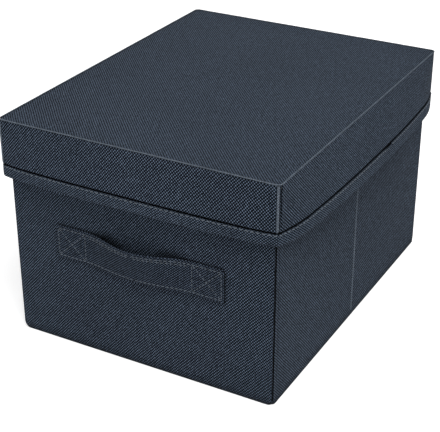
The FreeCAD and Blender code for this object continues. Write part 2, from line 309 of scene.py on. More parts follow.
def spun(name, dark, light):
    """Twisted sewing thread."""
    nodes = Fabric(name)
    x, y, z = nodes.place()
    twist = nodes.math("SINE", nodes.times(nodes.math("ADD", nodes.math("ADD", x, y), z), 9.0))
    fibres = nodes.noise(nodes.vector(x, y, z), 0.9, 1.0)
    nodes.tint(nodes.line(twist, 0.25, fibres, clamp=True), dark, light)
    nodes.bump(twist, 0.3, 0.1)
    return nodes.finish(0.6, 0.4, 0.1)


def chipboard(name, dark, light):
    """Pressed grey board with flecks of paper fibre."""
    nodes = Fabric(name)
    space = nodes.vector(*nodes.place())
    fleck = nodes.noise(space, 0.9, 4.0, 0.7)
    cloud = nodes.noise(space, 0.05, 2.0)
    flecked = nodes.line(fleck, 0.8, -0.15)
    nodes.tint(nodes.line(cloud, 0.5, flecked, clamp=True), dark, light)
    nodes.bump(fleck, 0.2, 0.15)
    return nodes.finish(0.92, 0.2)


CLOTH = woven("woven_cloth", 1.10, 1.20, (0.001, 0.002, 0.004), (0.088, 0.116, 0.163), 0.6)
TAPE = woven("woven_tape", 1.14, 0.96, (0.002, 0.004, 0.007), (0.090, 0.116, 0.160), 0.5)
STRAP = woven("woven_strap", 1.14, 0.96, (0.001, 0.002, 0.004), (0.066, 0.087, 0.124), 0.5)
SEAM = woven("seam_edge_cloth", 0.8, 0.9, (0.060, 0.074, 0.094), (0.165, 0.195, 0.235), 0.3, contrast=0.7)
# Near-black copy of the woven cloth: painted shadow, laid on faces deep in seams, grooves and the recess
# over the lid's hem, where shade falls
PAINTED_SHADOW_CLOTH = woven("painted_seam_shadow_cloth", 1.1, 1.2, (0.0005, 0.0008, 0.001), (0.006, 0.008, 0.011), 0.2)
LINING = felted("lining_felt", (0.020, 0.023, 0.030), (0.050, 0.056, 0.070))
RIBBON = ribbed("ribbon", (0.018, 0.022, 0.030), (0.060, 0.070, 0.088), 0.9)
THREAD = spun("sewing_thread", (0.060, 0.076, 0.096), (0.130, 0.154, 0.184))
BOARD = chipboard("grey_chipboard", (0.24, 0.22, 0.19), (0.42, 0.40, 0.36))


# Shapes

class Shape:
    """Points and faces gathered for one piece. Each face carries a material number."""

    def __init__(self):
        self.points, self.faces, self.marks = [], [], []

    def add(self, points, faces, mark=0):
        first = len(self.points)
        self.points += [Vector(p) for p in points]
        self.faces += [[first + i for i in face] for face in faces]
        self.marks += [mark] * len(faces)
        return self

    def bend(self, change):
        self.points = [Vector(change(p)) for p in self.points]
        return self

    def mark_where(self, test):
        """Gives the faces whose middle passes a test the second material."""
        for n, face in enumerate(self.faces):
            if test(sum((self.points[i] for i in face), Vector()) / len(face)):
                self.marks[n] = 1
        return self

    def turn(self, angle, x=0.0, y=0.0):
        turning = Matrix.Translation((x, y, 0)) @ Matrix.Rotation(math.radians(angle), 4, "Z")
        return self.bend(lambda p: turning @ p)


def piece(name, shape, *materials):
    """A mesh object of one shape, at the origin, in metres."""
    mesh = bpy.data.meshes.new(name)
    mesh.from_pydata([p * MM for p in shape.points], [], shape.faces)
    for material in materials:
        mesh.materials.append(material)
    mesh.polygons.foreach_set("material_index", shape.marks)
    work = bmesh.new()
    work.from_mesh(mesh)
    bmesh.ops.remove_doubles(work, verts=work.verts, dist=1e-7)
    bmesh.ops.recalc_face_normals(work, faces=work.faces)
    work.to_mesh(mesh)
    work.free()
    mesh.shade_smooth()
    mesh.set_sharp_from_angle(angle=math.radians(SHARP_ANGLE))
    made = bpy.data.objects.new(name, mesh)
    bpy.context.scene.collection.objects.link(made)
    return made


def fit(made, body, node):
    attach(made, body)
    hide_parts(node)


def stops(low, high, edge, step, arc):
    """Places along one axis of a rounded box, close together over its edges."""
    rim = [edge * (1 - math.tan(math.pi / 4 * (1 - k / arc))) for k in range(arc)]
    flat = high - low - 2 * edge
    count = max(1, round(flat / step))
    middle = [edge + flat * k / count for k in range(count + 1)] if flat > 1e-6 else [edge]
    return [low + t for t in rim + middle] + [high - t for t in reversed(rim)]


def soft_box(low, high, edge, step, arc):
    """A closed box with rounded edges, gridded on every face. step is one length or three."""
    steps = step if isinstance(step, tuple) else (step, step, step)
    axes = [stops(low[i], high[i], edge, steps[i], arc) for i in range(3)]
    points, faces, known = [], [], {}

    def vertex(place):
        key = tuple(round(c, 5) for c in place)
        if key not in known:
            core = Vector([min(max(c, l + edge), h - edge) for c, l, h in zip(place, low, high)])
            away = Vector(place) - core
            known[key] = len(points)
            points.append(core + away.normalized() * edge if away.length > 1e-9 else Vector(place))
        return known[key]

    for axis in range(3):
        a, b = (axis + 1) % 3, (axis + 2) % 3
        for end, place in enumerate((low[axis], high[axis])):
            for i in range(len(axes[a]) - 1):
                for j in range(len(axes[b]) - 1):
                    quad = []
                    for u, v in ((i, j), (i + 1, j), (i + 1, j + 1), (i, j + 1)):
                        at = [0.0, 0.0, 0.0]
                        at[axis], at[a], at[b] = place, axes[a][u], axes[b][v]
                        quad.append(vertex(at))
                    faces.append(quad if end else quad[::-1])
    return Shape().add(points, faces)


def rounded_corners(low, high, radius, wanted=lambda p: True):
    """A change that rounds the corners of a level piece, seen from above."""
    def change(p):
        core = [min(max(p[a], low[a] + radius), high[a] - radius) for a in range(2)]
        away = [p[a] - core[a] for a in range(2)]
        if min(abs(t) for t in away) < 1e-6 or not wanted(p):
            return p
        scale = max(abs(t) for t in away) / math.hypot(*away)
        return Vector((core[0] + away[0] * scale, core[1] + away[1] * scale, p.z))
    return change


def slab(half_x, half_y, low_z, high_z, edge, step, arc, radius):
    """A thin level box round the middle of the frame, its corners rounded seen from above."""
    low, high = (-half_x, -half_y, low_z), (half_x, half_y, high_z)
    return soft_box(low, high, edge, step, arc).bend(rounded_corners(low, high, radius))


def tube(rows, closed=False):
    """Points and faces over equal loops of points, capped unless the last loop meets the first."""
    size, count = len(rows[0]), len(rows)
    faces = []
    for i in range(count if closed else count - 1):
        here, there = i * size, (i + 1) % count * size
        for j in range(size):
            k = (j + 1) % size
            faces.append([here + j, here + k, there + k, there + j])
    if not closed:
        faces += [list(range(size)), list(range((count - 1) * size, count * size))]
    return [p for row in rows for p in row], faces


def circle(centre, radius, count=10):
    """Points round an upright line."""
    turns = [2 * math.pi * n / count for n in range(count)]
    return [centre + Vector((radius * math.cos(a), radius * math.sin(a), 0)) for a in turns]


def ripple(p, size, seed):
    """A smooth value from -1 to 1 that changes over the given distance."""
    return noise.noise(Vector((p[0] / size + seed, p[1] / size - seed, p[2] / size + 2 * seed)))


def ease(t):
    t = min(max(t, 0.0), 1.0)
    return t * t * (3 - 2 * t)


def dent(place, middle, width):
    """A bell from 0 to 1 round one place."""
    return math.exp(-((place - middle) / width) ** 2)


def stitches(shape, points, outward, pitch, length, width, height):
    """A row of raised stitches along a run of points, each with its outward direction."""
    spans = [(b - a).length for a, b in zip(points, points[1:])]
    total = sum(spans)

    def at(distance):
        distance = min(max(distance, 0.0), total)
        for span, a, b, na, nb in zip(spans, points, points[1:], outward, outward[1:]):
            if distance <= span:
                t = distance / span if span else 0.0
                return a.lerp(b, t), na.lerp(nb, t).normalized()
            distance -= span
        return points[-1], outward[-1]

    count = max(1, int((total - length) / pitch) + 1)
    start = (total - (count - 1) * pitch - length) / 2
    for k in range(count):
        rows = []
        for share, full in ((0.0, 0.35), (0.16, 0.85), (0.5, 1.0), (0.84, 0.85), (1.0, 0.35)):
            distance = start + k * pitch + share * length
            place, normal = at(distance)
            run = (at(distance + 0.2)[0] - at(distance - 0.2)[0]).normalized()
            aside = normal.cross(run).normalized()
            rows.append([
                place + aside * (math.cos(a) * width * full) + normal * (math.sin(a) * height * full)
                for a in (math.pi * n / 4 for n in range(-1, 6))
            ])
        shape.add(*tube(rows), mark=1)


# Which way each end and side of the box lies along its axis, and the body of each end
WAY = {"front": -1, "back": 1, "left": -1, "right": 1}
END_BODY = {"front": "front_wall", "back": "base"}


# Walls. Each panel is built with its outside on the XZ plane and turned into place. It is
# given by its start, end and lowest place, whether it turns the box's corners, its angle
# and its place. All but the back wall are bodies of their own.

PANELS = {
    "front_wall": (-HALF_WIDTH, HALF_WIDTH, WALL_BOTTOM, True, 0, 0, -HALF_DEPTH),
    "back_wall": (-HALF_WIDTH, HALF_WIDTH, RIM, True, 180, 0, HALF_DEPTH),
    "side_right_rear": (CREASE_END, SIDE_END, WALL_BOTTOM, False, 90, HALF_WIDTH, 0),
    "side_right_front": (-SIDE_END, -CREASE_END, WALL_BOTTOM, False, 90, HALF_WIDTH, 0),
    "side_left_rear": (-SIDE_END, -CREASE_END, WALL_BOTTOM, False, -90, -HALF_WIDTH, 0),
    "side_left_front": (CREASE_END, SIDE_END, WALL_BOTTOM, False, -90, -HALF_WIDTH, 0),
}


def corner_groove(share):
    """How far the cloth is drawn in at a sewn corner. share runs 0 to 1 round the corner."""
    return 0.75 * dent(share, 0.5, 0.13) - 0.42 * dent(share, 0.5, 0.36)


def cover_wave(place, start, end, low_z):
    """How far the face of the outer cloth waves in or out, fading towards its edges."""
    x, _, z = place
    inside = min(x - start, end - x, z - low_z + 4, COVER_TOP + 6 - z)
    return 0.24 * ripple(place, 46.0, 3.1) * ease(inside / 14)


def end_wall_cover(start, end, low_z):
    """The outer cloth of a front or back panel, which turns both corners to meet the sides."""
    inner = WALL_THICKNESS - LINING_THICKNESS

    def corner(edge, way):
        turned = []
        for k in range(13):
            angle = math.pi / 2 * k / 12
            reach = CORNER_RADIUS - corner_groove(k / 12)
            x = edge + way * (CORNER_RADIUS - reach * math.cos(angle))
            turned.append((x, CORNER_RADIUS - reach * math.sin(angle)))
        return turned

    # Faces in the corner groove take the second, near-black cloth: painted shadow
    def groove_painted_dark(p):
        return 0.22 < p.y < 1.05 and 0.22 < min(p.x - start, end - p.x) < 1.05

    count, flat = round((end - start) / 5), end - start - 2 * CORNER_RADIUS
    face = [(start + CORNER_RADIUS + flat * k / count, 0.0) for k in range(1, count)]
    outline = [(start, inner)] + corner(start, 1) + face + corner(end, -1)[::-1] + [(end, inner)]
    steps = round((COVER_TOP - low_z) / 5)
    levels = [(low_z - COVER_DROP, 0.22), (low_z - 0.04, 0.06)]
    levels += [(low_z + (COVER_TOP - low_z) * k / steps, 0.0) for k in range(steps + 1)]
    levels += [(COVER_TOP + 0.1, 0.1)]
    middle = (start + end) / 2
    rows = []
    for z, shrink in levels:
        row = []
        for x, y in outline:
            wave = cover_wave((x, 0, z), start, end, low_z) if y < 0.3 else 0.0
            lift = shrink if y < 1 else 0.0
            row.append(Vector((x + math.copysign(shrink, middle - x), y + lift + wave, z)))
        rows.append(row)
    return Shape().add(*tube(rows)).mark_where(groove_painted_dark)


def side_cover(start, end, low_z):
    """The outer cloth of half a side, pulled over its board, a little uneven over the face."""
    low, high = (start, 0, low_z - COVER_DROP), (end, WALL_THICKNESS - LINING_THICKNESS, COVER_TOP)

    def change(p):
        if p.y < 0.3:
            p.y += cover_wave(p, start, end, low_z)
        return p

    return soft_box(low, high, 0.22, 5.0, 2).bend(change)


def wall_lining(start, end, low_z):
    """The thin inner cloth, a little slack over its board."""
    low = (start + 0.1, WALL_THICKNESS - LINING_THICKNESS, low_z)
    high = (end - 0.1, WALL_THICKNESS, WALL_TOP - 7.6)

    def change(p):
        if p.y > WALL_THICKNESS - 0.1:
            p.y -= 0.12 * abs(ripple(p, 30.0, 5.0))
        return p

    return soft_box(low, high, 0.15, 8.0, 1).bend(change)


def binding_channel(start, end):
    """Tape folded over the top of a wall: an upside-down U along X, stitched on both faces."""
    out, back, leaf, crown = -BINDING_PROUD, WALL_THICKNESS + BINDING_PROUD, 0.6, 0.7
    middle, reach = (out + back) / 2, (back - out) / 2
    section = [(out, BINDING_LOW), (out, BINDING_LOW + 2.6), (out, WALL_TOP - 2.4)]
    for k in range(7):
        angle = math.pi - math.pi * k / 6
        section.append((middle + reach * math.cos(angle), WALL_TOP - crown + crown * math.sin(angle)))
    section += [(back, WALL_TOP - 2.4), (back, BINDING_LOW + 2.6), (back, BINDING_LOW)]
    section += [(back - leaf, BINDING_LOW - 0.02), (back - leaf, WALL_TOP - 0.75)]
    section += [(out + leaf, WALL_TOP - 0.75), (out + leaf, BINDING_LOW - 0.02)]
    count = max(2, round((end - start) / 5))
    between = [start + (end - start) * k / count for k in range(1, count)]
    rows = []
    for x in (start, start + 0.15, *between, end - 0.15, end):
        shrink = 0.12 if x in (start, end) else 0.0
        row = []
        for y, z in section:
            wave = 0.1 * ripple((x, y, z), 21.0, 6.0) if z > WALL_TOP - 0.74 else 0.0
            drop = shrink if z > WALL_TOP - 0.5 else 0.0
            row.append(Vector((x, y + (middle - y) * shrink / 2, z - drop + wave)))
        rows.append(row)
    band = Shape().add(*tube(rows))
    for y, way in ((out, -1), (back, 1)):
        row = [Vector((start + 1.2 + (end - start - 2.4) * k / 12, y, BINDING_LOW + 1.3)) for k in range(13)]
        stitches(band, row, [Vector((0, way, 0))] * len(row), *BINDING_STITCH)
    return band


def wall_pieces():
    for wall, (start, end, low_z, turns_corners, angle, x, y) in PANELS.items():
        body = "base" if wall == "back_wall" else wall
        outside = (end_wall_cover if turns_corners else side_cover)(start, end, low_z)
        cover = piece(f"{wall}_cloth", outside.turn(angle, x, y), CLOTH, PAINTED_SHADOW_CLOTH)
        fit(cover, body, f"{wall}_cover")

        lining = piece(f"{wall}_inner_cloth", wall_lining(start, end, low_z).turn(angle, x, y), LINING)
        fit(lining, body, f"{wall}_lining")

        band = piece(f"{wall}_top_binding", binding_channel(start, end).turn(angle, x, y), TAPE, THREAD)
        fit(band, body, f"{wall}_edge_binding")


def corner_web(end, side, side_body=None):
    """The cloth that turns a corner, from an end wall to a side body where one is given."""
    x_way, y_way = WAY[side], WAY[end]
    low_z = WALL_BOTTOM - COVER_DROP
    low, high = (HALF_WIDTH - 0.8, SIDE_END + 0.02, low_z), (HALF_WIDTH, HALF_DEPTH - 0.85, COVER_TOP)
    shape = soft_box(low, high, 0.3, (1.0, 2.0, 4.0), 2)
    shape.bend(lambda p: Vector((p.x * x_way, p.y * y_way, p.z)))
    web = piece(f"corner_web_{end}_{side}", shape, CLOTH)
    if side_body:
        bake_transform(web)
    else:
        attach(web, END_BODY[end])


def crease_web(side):
    """The cloth that hinges the two halves of a side, pressed into a slight ridge."""
    low = (HALF_WIDTH - 0.4, -CREASE_END - 0.02, WALL_BOTTOM - COVER_DROP)
    high = (HALF_WIDTH, CREASE_END + 0.02, COVER_TOP)

    def change(p):
        ridge = 0.5 * math.cos(min(abs(p.y) / CREASE_END, 1) * math.pi / 2)
        return Vector(((p.x + ridge) * WAY[side], p.y, p.z))

    web = piece(f"crease_web_{side}", soft_box(low, high, 0.08, (1.0, 0.2, 4.0), 1).bend(change), SEAM)
    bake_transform(web)


def seam_roll(node, body):
    """A rolled seam allowance that a fold turns on."""
    low, high = (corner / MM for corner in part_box(node))
    middle, radius, steps = (low + high) / 2, (high.x - low.x) / 2, 40
    rows = []
    for k in range(steps + 1):
        z = low.z + (high.z - low.z) * k / steps
        swell = radius * (0.9 + 0.06 * math.sin(z * 1.7))
        swell *= ease((z - low.z) / 0.6 + 0.5) * ease((high.z - z) / 0.6 + 0.5)
        rows.append(circle(Vector((middle.x, middle.y, z)), swell))
    fit(piece(f"{node}_roll", Shape().add(*tube(rows)), SEAM), body, node)


def folds():
    corner_web("front", "right", "side_right_front")
    corner_web("back", "right", "side_right_rear")
    corner_web("back", "left", "side_left_rear")
    corner_web("front", "left")
    crease_web("right")
    crease_web("left")
    for end in ("back", "front"):
        seam_roll(f"corner_seam_{end}_right", END_BODY[end])
        seam_roll(f"corner_seam_{end}_left", END_BODY[end])
    seam_roll("crease_seam_right", "side_right_rear")
    seam_roll("crease_seam_left", "side_left_rear")


# Floor

def rounded_ring(half_x, half_y, z, radius, arc, front_radius=None, notch=0.0):
    """A closed rounded rectangle; the point count doesn't depend on its inset."""
    nx, ny = round(2 * HALF_WIDTH / RING_STEP), round(2 * HALF_DEPTH / RING_STEP)
    corners = []
    for cx, cy, start, count in ((1, -1, -90, ny), (1, 1, 0, nx), (-1, 1, 90, ny), (-1, -1, 180, nx)):
        turn = front_radius if cy < 0 and front_radius else radius
        centre = Vector((cx * (half_x - turn), cy * (half_y - turn), z))
        points = []
        for k in range(arc + 1):
            angle = math.radians(start + 90 * k / arc)
            reach = turn - notch * corner_groove(k / arc)
            points.append(centre + Vector((reach * math.cos(angle), reach * math.sin(angle), 0)))
        corners.append((points, count))
    ring = []
    for (points, count), (following, _) in zip(corners, corners[1:] + corners[:1]):
        ring += points + [points[-1].lerp(following[0], k / count) for k in range(1, count)]
    return ring


def floor_pieces():
    # Height, inset and extra corner roundness, from the underside up round the rim and in
    profile = (
        (0.0, 1.1, 3.0), (0.1, 0.65, 2.8), (0.4, 0.28, 2.5), (1.0, 0.06, 2.0), (2.2, 0.0, 1.1),
        (3.6, 0.0, 0.3), (4.6, 0.0, 0.0), (4.82, 0.1, 0.0), (4.82, 0.5, 0.0), (4.5, 0.62, 0.0),
        (2.0, 0.66, 0.8), (1.0, 0.8, 1.6), (0.8, 1.2, 2.0),
    )
    rings = []
    for z, inset, extra in profile:
        radius = max(0.5, CORNER_RADIUS - inset)
        rings.append(rounded_ring(
            HALF_WIDTH - inset, HALF_DEPTH - inset, z, radius + 0.3 * extra, 12,
            front_radius=radius + 1.5 * extra, notch=0.7 if inset < 0.3 else 0.0,
        ))
    tray = piece("floor_cloth", Shape().add(*tube(rings)), CLOTH)
    fit(tray, "base", "floor_fabric")

    half_x, half_y = HALF_WIDTH - 1, HALF_DEPTH - 1
    lining = piece("floor_inner_cloth", slab(half_x, half_y, 0.82, 1.28, 0.15, 8.0, 1, 1.6), LINING)
    fit(lining, "base", "floor_lining")


def base_board():
    half_x, half_y = HALF_WIDTH - WALL_THICKNESS - BOARD_PLAY, HALF_DEPTH - WALL_THICKNESS - BOARD_PLAY

    def change(p):
        if p.z > BOARD_TOP - 0.2:
            p.z += 0.12 * ripple(p, 38.0, 9.0) - 0.1
        return p

    shape = slab(half_x, half_y, BOARD_LOW + 0.3, BOARD_TOP, 0.7, 8.0, 3, 3.0).bend(change)
    cover = piece("base_board_cloth", shape, LINING)
    fit(cover, "base_board", "base_board_cover")

    shape = slab(half_x - 1.2, half_y - 1.2, BOARD_LOW, BOARD_LOW + 0.4, 0.12, 9.0, 1, 2.4)
    backing = piece("base_board_back_cloth", shape, RIBBON)
    fit(backing, "base_board", "base_board_backing")

    back = half_y - 4
    low, high = (-TAB_WIDTH / 2, back - TAB_LENGTH, BOARD_TOP), (TAB_WIDTH / 2, back, TAB_TOP)
    rounded = rounded_corners(low, high, 5.0, wanted=lambda p: p.y < back - TAB_LENGTH / 2)
    shape = soft_box(low, high, 0.3, 1.0, 2).bend(rounded)
    for y in (back - 2.0, back - 5.5):
        row = [Vector((x, y, TAB_TOP - 0.02)) for x in (-8.5, -4, 0, 4, 8.5)]
        stitches(shape, row, [Vector((0, 0, 1))] * len(row), *TAB_STITCH)
    tab = piece("base_board_pull_tab", shape, RIBBON, THREAD)
    fit(tab, "base_board", "base_board_tab")


# Lid

def bow_station(share, reach, height):
    """A point that the arcs of a bowed edge pass: its distances along and out."""
    shoulder, rest = BOW_SHOULDER * reach, 1 - share
    along = reach * (share ** 3 - rest ** 3) + 3 * shoulder * rest * share * (share - rest)
    return along, 4 * height * rest * share


def arc_height(along, first, middle, last):
    """How far out the arc through three points is at one place along it."""
    ax, ay = first[0] - middle[0], first[1] - middle[1]
    cx, cy = last[0] - middle[0], last[1] - middle[1]
    turn = 2 * (ax * cy - ay * cx)
    x = (cy * (ax * ax + ay * ay) - ay * (cx * cx + cy * cy)) / turn
    y = (ax * (cx * cx + cy * cy) - cx * (ax * ax + ay * ay)) / turn
    return middle[1] + y + math.sqrt(x * x + y * y - (along - middle[0] - x) ** 2)


def bow(share, reach, full, inset, z):
    """A place along a bowed edge and its distance out, on three arcs that join as one bow.

    The outer cloth, held in at its corner seams, swells a little past its board near them.
    """
    height = max(0.01, full * (LID_FACE - z) / (LID_FACE - HEM_BOTTOM))
    start = sum(share > station for station in BOW_STATIONS[2:-1:2]) * 2
    passed = [bow_station(station, reach, height) for station in BOW_STATIONS[start:start + 3]]
    along = bow_station(share, reach, height)[0]
    out = arc_height(along, *passed)
    if inset < 1.5:
        out += 0.1 * height * (2 * abs(along) / reach) ** 2 * max(0.0, 1 - abs(along) / reach)
    return along, out


def skirt_loop(inset, z, corner=lambda turn, z: 0.0):
    """The plan outline of the skirt at one height. turn runs 0 to 1 from an end to a side."""
    reach_x, reach_y = LID_X - LID_RADIUS, LID_Y - LID_RADIUS

    def arc(sx, sy, start):
        points = []
        for k in range(1, ARC_STEPS):
            angle = math.radians(start + 90 * k / ARC_STEPS)
            away = Vector((math.cos(angle), math.sin(angle), 0))
            turn = math.atan2(abs(away.x), abs(away.y)) / (math.pi / 2)
            reach = LID_RADIUS - inset + corner(turn, z)
            points.append(Vector((sx * reach_x, sy * reach_y, z)) + away * reach)
        return points

    def side(way):
        shares = sorted([k / SIDE_STEPS for k in range(SIDE_STEPS + 1)] + list(JOIN_SHARES))
        run = [bow(share, reach_y, SIDE_BOW, inset, z) for share in shares]
        return [Vector((way * (LID_X - inset + out), way * along, z)) for along, out in run]

    def end(way):
        run = [bow(k / FRONT_STEPS, reach_x, FRONT_BOW, inset, z) for k in range(FRONT_STEPS + 1)]
        return [Vector((-way * along, way * (LID_Y - inset + out), z)) for along, out in run]

    front_half = end(-1) + arc(1, -1, -90) + side(1) + arc(1, 1, 0)
    return front_half + end(1) + arc(-1, 1, 90) + side(-1) + arc(-1, -1, 180)


def skirt_band(profile, corner=lambda turn, z: 0.0):
    return Shape().add(*tube([skirt_loop(inset, z, corner) for inset, z in profile], closed=True))


def corner_groove_painted_dark(p):
    """Whether a place on the outer cloth lies in the deep upper part of a corner's groove, which is painted
    dark as shadow.
    """
    away = Vector((abs(p.x) - LID_X + LID_RADIUS, abs(p.y) - LID_Y + LID_RADIUS, 0))
    if away.x < 0 or away.y < 0 or away.length < 1.2 or p.z < GROOVE_TOP + 11:
        return False
    return abs(math.atan2(away.x, away.y) / (math.pi / 2) - CORNER_GROOVE) < 0.09


def corner_pinch(turn, z):
    """The groove beside the piped corner seam, on the side's half of the corner."""
    low, high = ease((z - GROOVE_TOP + 0.5) / 3), ease((LID_FACE + 1 - z) / 2)
    deep = 0.7 + 1.1 * ease((z - GROOVE_TOP) / 24) * ease((LID_BOARD_BOTTOM - 0.5 - z) / 2)
    return -deep * dent(turn, CORNER_GROOVE, 0.1) * low * high


def outward_of(ring):
    """The level direction that looks out of a closed ring, at each of its points."""
    found = []
    for behind, ahead in zip(ring[-1:] + ring[:-1], ring[1:] + ring[:1]):
        run = ahead - behind
        found.append(Vector((run.y, -run.x, 0)).normalized())
    return found


def ring_stitches(shape, path, way, stitch):
    """Stitches all the way round a closed path, on its outer face or its inner one."""
    normals = [n * way for n in outward_of(path)]
    stitches(shape, path + path[:1], normals + normals[:1], *stitch)


def lid_skirt():
    # From the top edge down the outer face, round the recess over the hem and up the inner face
    low, high, groove, hem = GROOVE_TOP + 1.6, LID_FACE - 1.4, GROOVE_TOP, HEM_TOP
    profile = [(0.75, LID_FACE - 0.15), (0.25, LID_FACE - 0.55)]
    profile += [(0.0, high - (high - low) * k / 9) for k in range(10)]
    profile += [
        (-0.05, groove + 0.6), (0.1, groove + 0.1), (0.45, groove - 0.1), (1.5, groove - 0.12),
        (1.9, groove - 0.7), (1.9, hem - 3.4), (0.98, hem - 3.8), (0.98, HEM_BOTTOM + 2),
        (1.7, HEM_BOTTOM + 2), (2.2, groove - 0.35), (1.0, groove + 0.75), (0.8, LID_FACE - 1.6),
        (0.9, LID_FACE - 0.9),
    ]

    def recess_painted_dark(p):
        return HEM_TOP - 3.9 < p.z < GROOVE_TOP - 0.05

    def change(p):
        edge = ease((p.z - GROOVE_TOP) / 8) * ease((LID_FACE - p.z) / 8)
        wave = 0.3 * ripple(p, 40.0, 1.7) * edge
        if abs(p.x) / LID_X > abs(p.y) / LID_Y:
            p.x += math.copysign(1, p.x) * wave
        else:
            p.y += math.copysign(1, p.y) * wave
        return p

    # The recess over the hem and the deep part of each corner groove take the near-black cloth: painted
    # shadow
    shape = skirt_band(profile, corner_pinch).mark_where(lambda p: recess_painted_dark(p) or corner_groove_painted_dark(p))
    skirt = piece("lid_skirt_cloth", shape.bend(change), CLOTH, PAINTED_SHADOW_CLOTH)
    fit(skirt, "lid", "lid_skirt_fabric")


def lid_top():
    half_x, half_y = LID_X - 0.75, LID_Y - 0.75

    def dish(p):
        if p.z > LID_FACE - 0.3:
            inside = min(half_x - abs(p.x), half_y - abs(p.y))
            p.z += (0.28 * ripple(p, 42.0, 4.0) - 0.18) * ease(inside / 20)
        return p

    shape = slab(half_x, half_y, LID_FACE - CLOTH_THICKNESS, LID_FACE, 0.3, 5.0, 2, 2.75)
    top = piece("lid_top_cloth", shape.bend(dish), CLOTH)
    fit(top, "lid", "lid_top_fabric")


def lid_top_piping():
    """The raised seam round the top."""
    rings = []
    for n in range(10):
        angle = 2 * math.pi * n / 10
        inset = PIPING_RADIUS - 0.25 - PIPING_RADIUS * math.cos(angle)
        z = LID_FACE + 0.6 - PIPING_RADIUS + PIPING_RADIUS * math.sin(angle)
        rings.append([Vector((p.x, p.y, z)) for p in skirt_loop(inset, LID_FACE)])

    def change(p):
        shift = (0.10 * ripple(p, 3.0, 2.0), 0.10 * ripple(p, 3.0, 6.0), 0.08 * ripple(p, 4.0, 8.0))
        return p + Vector(shift)

    piping = piece("lid_top_piping", Shape().add(*tube(rings, closed=True)).bend(change), SEAM)
    fit(piping, "lid", "lid_top_seam")


def lid_corner_piping():
    """A raised seam down each corner."""
    low_z, high_z, steps = GROOVE_TOP + 0.2, LID_FACE - 0.5, 24
    angle = math.radians(CORNER_PIPING_ANGLE)
    shape = Shape()
    for sx in (-1, 1):
        for sy in (-1, 1):
            away = Vector((sx * math.cos(angle), sy * math.sin(angle), 0)) * (LID_RADIUS + 0.1)
            centre = Vector((sx * (LID_X - LID_RADIUS), sy * (LID_Y - LID_RADIUS), 0)) + away
            rows = []
            for k in range(steps + 1):
                z = low_z + (high_z - low_z) * k / steps
                radius = CORNER_PIPING_RADIUS * (0.93 + 0.1 * ripple((sx * 9, sy * 9, z), 3.0, 1.0))
                radius *= 0.55 + 0.45 * ease((z - low_z) / 1.5)
                shift = [0.12 * ripple((z, sx, sy), 9.0, seed) for seed in (3.0, 5.0)]
                rows.append(circle(centre + Vector((*shift, z)), radius))
            shape.add(*tube(rows))
    fit(piece("lid_corner_piping", shape, SEAM), "lid", "lid_corner_seams")


def lid_hem():
    """The tape folded over the lower edge, with its two rows of stitching."""
    face, inner, top, low = -HEM_PROUD, 2.6, HEM_TOP, HEM_BOTTOM
    profile = [
        (0.5, top - 1.2), (0.4, top - 0.6), (0.15, top - 0.25), (-0.2, top - 0.2), (face, top - 0.6),
        (face + 0.12, top - 1.3), (face, top - 2.1), (face - 0.05, top - 5.5), (face, low + 1.4),
        (face + 0.18, low + 0.55), (face + 0.6, low + 0.1), (0.6, low), (1.6, low + 0.08), (2.2, low + 0.4),
        (2.55, low + 1.1), (inner, top - 1.2), (2.35, top - 0.2), (1.95, top - 0.1), (1.9, low + 3),
        (0.95, low + 3), (0.7, top - 3.2),
    ]
    shape = skirt_band(profile)
    ring_stitches(shape, skirt_loop(face, top - 1.2), 1, HEM_STITCH)
    ring_stitches(shape, skirt_loop(inner, top - 1.2), -1, HEM_STITCH)

    def sag(p):
        """The tape's end sags away from the groove on the right, as far as its join."""
        if p.x > 0 and p.y < 29.0 and p.z > HEM_TOP - 1.9:
            p.z -= 1.3 * ease((p.y - 8) / 16)
        return p

    hem = piece("lid_hem_tape", shape.bend(sag), TAPE, THREAD)
    fit(hem, "lid", "lid_hem")


def lid_lining():
    top, low = LID_CEILING - 0.1, HEM_BOTTOM + 4
    profile = [(2.72, GROOVE_TOP - 0.4), (2.72, top), (3.2, top), (3.2, GROOVE_TOP - 0.2)]
    profile += [(2.4, low), (1.9, low)]
    lining = piece("lid_skirt_inner_cloth", skirt_band(profile), LINING)
    fit(lining, "lid", "lid_skirt_lining")

    half_x, half_y = LID_X - 2.75, LID_Y - 2.75
    low, high = (-half_x, -half_y, LID_CEILING), (half_x, half_y, LID_BOARD_BOTTOM)
    ceiling = piece("lid_top_inner_cloth", soft_box(low, high, 0.15, 8.0, 1), LINING)
    fit(ceiling, "lid", "lid_top_lining")


def lid_ledge():
    """The seam turned in under the top, which rests on the walls."""
    low, inner = LID_CEILING - LEDGE_HEIGHT, 7.05
    profile = [
        (3.22, low + 0.5), (3.22, LID_CEILING), (6.9, LID_CEILING), (inner, low + 1.0), (6.7, low + 0.3),
        (6.0, low), (4.2, low), (3.5, low + 0.15),
    ]

    def ring(inset, z):
        return rounded_ring(LID_X - inset, LID_Y - inset, z, 0.5, 3)

    shape = Shape().add(*tube([ring(inset, z) for inset, z in profile], closed=True))
    ring_stitches(shape, ring(inner, LID_CEILING - 2.2), -1, BINDING_STITCH)
    ledge = piece("lid_ledge_tape", shape, RIBBON, THREAD)
    fit(ledge, "lid", "lid_ledge")


# Handles. Each strap is one length of doubled tape, made as two halves that meet in the middle.

def strap_surface(x, z, outward):
    """The distance of the strap's face from the wall plane."""
    share = min(abs(x) / GRIP_HALF, 1.0)
    height = (z - STRAP_LOW) / STRAP_WIDTH
    bulge = (BULGE_LOW + (BULGE_HIGH - BULGE_LOW) * height) * (1 - share * share) ** 2
    loose = 0.3 * ease((STRAP_END + 1.5 - abs(x)) / 3.0)
    curl = 0.35 * ripple((x, 0, z), 17.0, 2.0) * (1 - share ** 4)
    return loose + bulge + curl + (STRAP_THICKNESS if outward else 0.0)


def rounding(distance, radius):
    """How far a rounded edge has fallen at a distance in from it, as a share of its radius."""
    return 1 - math.sqrt(max(0.0, 1 - (1 - min(distance / radius, 1.0)) ** 2))


